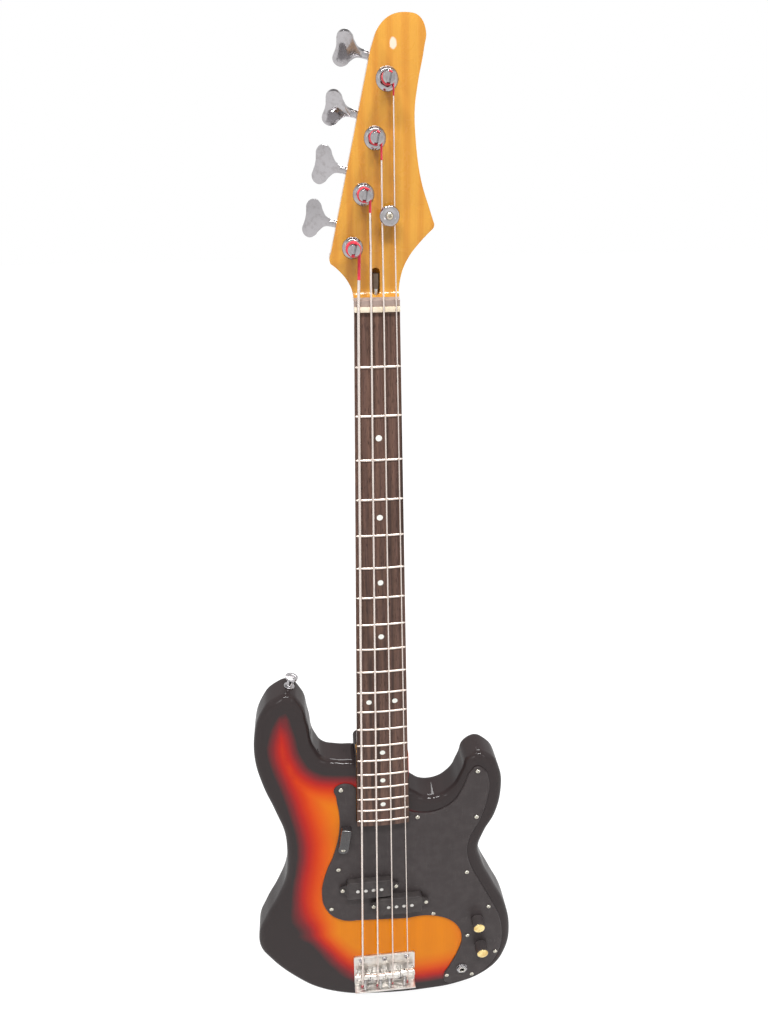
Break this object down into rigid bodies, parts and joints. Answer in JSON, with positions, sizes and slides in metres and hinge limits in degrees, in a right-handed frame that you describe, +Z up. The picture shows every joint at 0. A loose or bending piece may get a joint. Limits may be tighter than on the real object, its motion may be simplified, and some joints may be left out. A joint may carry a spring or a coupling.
{
  "type": "bass guitar",
  "caption": "Long-scale fretted electric bass with a bolt-on neck, contoured double-cutaway body, split pickup and open worm-gear tuning machines.",
  "frame": {"origin": "on the neck centreline at the front edge of the nut, in the plane where the fingerboard is glued to the neck, which is where a wall hanger or stand takes the neck just under the headstock", "axes": "+Z up along the neck towards the headstock, -Y out of the front face past the strings, +X towards the thinnest string"},
  "size_m": [0.3316, 0.064, 1.1616],
  "materials": {
    "sunburst_lacquer": "three-colour sunburst under clear gloss lacquer, amber in the middle, red and then black at the rim",
    "maple_lacquer": "amber maple under clear gloss lacquer",
    "rosewood": "dark brown rosewood, oiled, with fine open grain",
    "nickel_silver": "polished nickel silver",
    "bone": "polished bone white",
    "pearl": "pale pearl plastic",
    "plain_steel": "plain machined steel",
    "chrome_plate": "mirror chrome plating",
    "chrome_screws": "chromed steel screws",
    "nickel_screws": "nickel-plated steel screws",
    "black_guard": "single-ply black plastic, satin gloss, bright bevel",
    "black_plastic": "moulded black plastic, glossy",
    "pickup_plastic": "black moulded covers, slightly dull",
    "black_fibre": "black vulcanised fibre plates",
    "copper_wire": "enamelled copper wire",
    "foam_rubber": "dark foam rubber pad",
    "magnet_steel": "ground magnet steel",
    "capacitor_shell": "dipped capacitor shell",
    "jack_metal": "nickel-plated jack",
    "saddle_steel": "chromed turned barrels",
    "ball_brass": "brass ball ends",
    "string_steel": "round-wound steel with red silk at both ends",
    "gear_brass": "machined brass wheels",
    "cream_gold_knob": "cream-gold domed caps with dark skirts"
  },
  "bodies": {
    "instrument": {"body": "sunburst_lacquer", "neck": "maple_lacquer", "fingerboard": "rosewood", "frets": "nickel_silver", "nut": "bone", "position_dots": "pearl", "truss_rod": "plain_steel", "truss_rod_nut": "plain_steel", "neck_plate": "chrome_plate", "neck_screws": "chrome_screws", "pickguard": "black_guard", "pickguard_screws": "nickel_screws", "thumb_rest": "black_plastic", "thumb_rest_screw": "nickel_screws", "pickup_cover_bass": "pickup_plastic", "pickup_cover_treble": "pickup_plastic", "pickup_bobbins": "black_fibre", "pickup_coils": "copper_wire", "pickup_foam": "foam_rubber", "pickup_pole_pieces": "magnet_steel", "pickup_screws": "nickel_screws", "pot_housings": "plain_steel", "pot_nuts": "plain_steel", "tone_capacitor": "capacitor_shell", "output_jack": "jack_metal", "output_jack_nut": "chrome_plate", "bridge_plate": "chrome_plate", "bridge_screws": "chrome_screws", "bridge_saddles": "saddle_steel", "saddle_height_screws": "plain_steel", "intonation_screws": "chrome_screws", "intonation_springs": "plain_steel", "string_ball_ends": "ball_brass", "string_e": "string_steel", "string_a": "string_steel", "string_d": "string_steel", "string_g": "string_steel", "strap_buttons": "chrome_plate", "strap_button_screws": "chrome_screws", "string_tree": "chrome_plate", "string_tree_screw": "nickel_screws", "tuner_plates": "chrome_plate", "tuner_bushings": "chrome_plate", "tuner_screws": "chrome_screws"},
    "tuner_key_e": {"tuner_key_e": "chrome_plate"},
    "tuner_post_e": {"tuner_post_e": "chrome_plate", "tuner_gear_e": "gear_brass"},
    "tuner_key_a": {"tuner_key_a": "chrome_plate"},
    "tuner_post_a": {"tuner_post_a": "chrome_plate", "tuner_gear_a": "gear_brass"},
    "tuner_key_d": {"tuner_key_d": "chrome_plate"},
    "tuner_post_d": {"tuner_post_d": "chrome_plate", "tuner_gear_d": "gear_brass"},
    "tuner_key_g": {"tuner_key_g": "chrome_plate"},
    "tuner_post_g": {"tuner_post_g": "chrome_plate", "tuner_gear_g": "gear_brass"},
    "volume_control": {"volume_knob": "cream_gold_knob", "volume_shaft": "plain_steel"},
    "tone_control": {"tone_knob": "cream_gold_knob", "tone_shaft": "plain_steel"}
  },
  "joints": [
    {"name": "key_e_turn", "type": "hinge", "parent": "instrument", "child": "tuner_key_e", "pos_m": [-0.01613, 0.02641, 0.06669], "axis": [0.9723, 0, -0.2336], "continuous": true},
    {"name": "post_e_turn", "type": "hinge", "parent": "instrument", "child": "tuner_post_e", "pos_m": [-0.01959, 0, 0.0523], "axis": [0, 1, 0], "continuous": true},
    {"name": "key_a_turn", "type": "hinge", "parent": "instrument", "child": "tuner_key_a", "pos_m": [-0.00597, 0.02641, 0.10899], "axis": [0.9723, 0, -0.2336], "continuous": true},
    {"name": "post_a_turn", "type": "hinge", "parent": "instrument", "child": "tuner_post_a", "pos_m": [-0.00942, 0, 0.0946], "axis": [0, 1, 0], "continuous": true},
    {"name": "key_d_turn", "type": "hinge", "parent": "instrument", "child": "tuner_key_d", "pos_m": [0.00419, 0.02641, 0.1513], "axis": [0.9723, 0, -0.2336], "continuous": true},
    {"name": "post_d_turn", "type": "hinge", "parent": "instrument", "child": "tuner_post_d", "pos_m": [0.00074, 0, 0.1369], "axis": [0, 1, 0], "continuous": true},
    {"name": "key_g_turn", "type": "hinge", "parent": "instrument", "child": "tuner_key_g", "pos_m": [0.01436, 0.02641, 0.1936], "axis": [0.9723, 0, -0.2336], "continuous": true},
    {"name": "post_g_turn", "type": "hinge", "parent": "instrument", "child": "tuner_post_g", "pos_m": [0.0109, 0, 0.17921], "axis": [0, 1, 0], "continuous": true},
    {"name": "volume_turn", "type": "hinge", "parent": "instrument", "child": "volume_control", "pos_m": [0.12241, 0, -0.78639], "axis": [0, -1, 0], "range_deg": [-150, 150]},
    {"name": "tone_turn", "type": "hinge", "parent": "instrument", "child": "tone_control", "pos_m": [0.12912, 0, -0.83539], "axis": [0, -1, 0], "range_deg": [-150, 150]}
  ],
  "couplings": [
    {"joint": "post_e_turn", "follows": "key_e_turn", "ratio": -0.05},
    {"joint": "post_a_turn", "follows": "key_a_turn", "ratio": -0.05},
    {"joint": "post_d_turn", "follows": "key_d_turn", "ratio": -0.05},
    {"joint": "post_g_turn", "follows": "key_g_turn", "ratio": -0.05}
  ]
}
